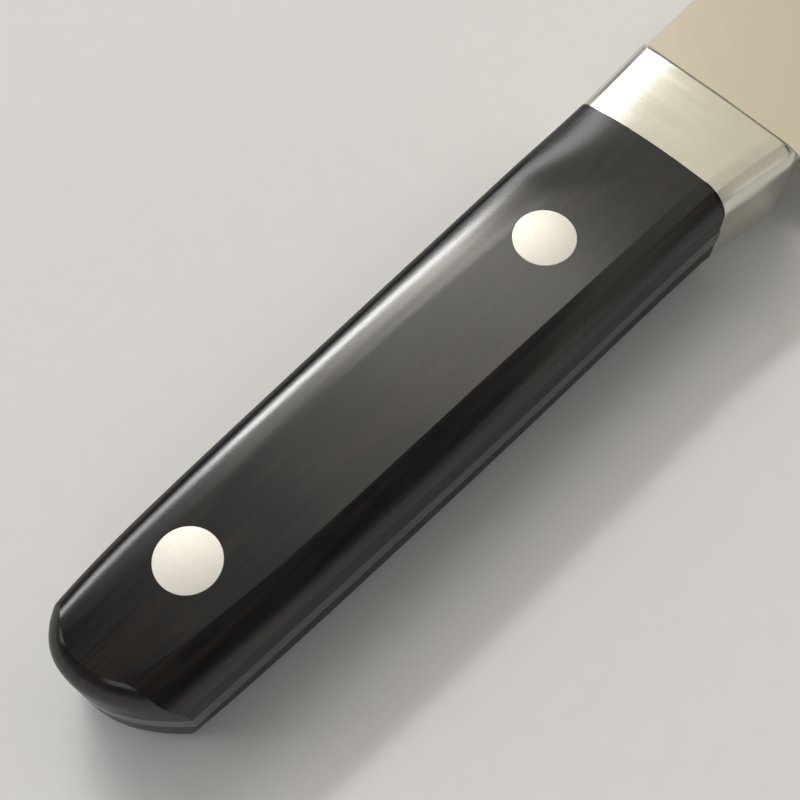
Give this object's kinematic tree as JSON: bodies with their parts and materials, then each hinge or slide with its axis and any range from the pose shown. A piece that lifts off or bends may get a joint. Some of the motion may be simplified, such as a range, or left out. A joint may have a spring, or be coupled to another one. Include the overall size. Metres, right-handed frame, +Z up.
{
  "type": "boning knife",
  "caption": "Full-tang boning knife with a straight tapering blade, steel bolster and riveted dark wood scales.",
  "frame": {"origin": "middle of the base of the knife's box, as it lies on its left side", "axes": "+X towards the tip, +Y towards the spine, +Z up, out of the knife's right side"},
  "size_m": [0.2618, 0.0396, 0.0172],
  "materials": {
    "blade_steel": "satin, fine lengthwise polish",
    "bolster_steel": "bright satin polish",
    "handle_wood": "black laminated wood, semi-gloss",
    "rivet_steel": "polished flush"
  },
  "bodies": {
    "root": {"blade": "blade_steel", "bolster_right": "bolster_steel", "bolster_left": "bolster_steel", "scale_right": "handle_wood", "scale_left": "handle_wood", "front_rivet_barrel": "rivet_steel", "front_rivet_post": "rivet_steel", "rear_rivet_barrel": "rivet_steel", "rear_rivet_post": "rivet_steel"}
  },
  "joints": []
}
